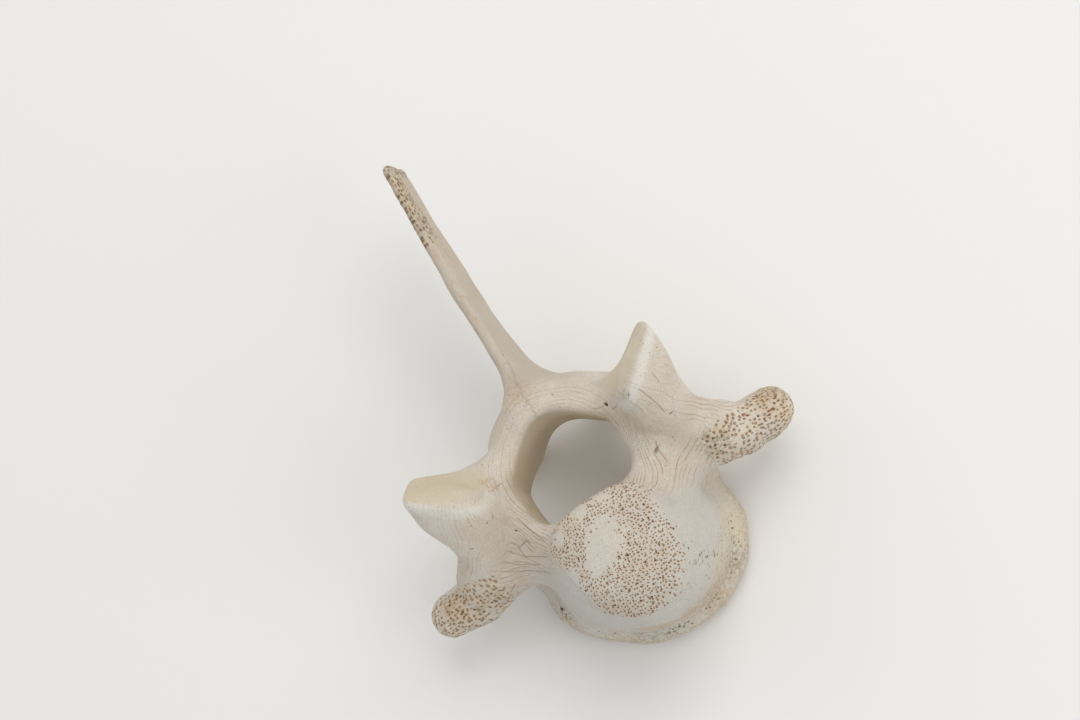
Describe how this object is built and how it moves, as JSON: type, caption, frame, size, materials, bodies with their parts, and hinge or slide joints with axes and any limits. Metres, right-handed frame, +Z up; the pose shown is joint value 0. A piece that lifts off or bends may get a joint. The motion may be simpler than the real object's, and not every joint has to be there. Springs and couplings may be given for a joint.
{
  "type": "elk vertebra",
  "caption": "Dry neck vertebra of a young elk: a body with a domed front end, an arch around the spinal canal, side and joint processes, and a long blade-like spine.",
  "frame": {"origin": "on the surface the bone lies on, under the middle of its box", "axes": "+Z up, towards the head end of the bone; +Y along the neural spine, towards its tip; +X towards the animal's left side"},
  "size_m": [0.1278, 0.166, 0.0725],
  "materials": {
    "bone": "matte"
  },
  "bodies": {
    "root": {"vertebra": "bone"}
  },
  "joints": []
}
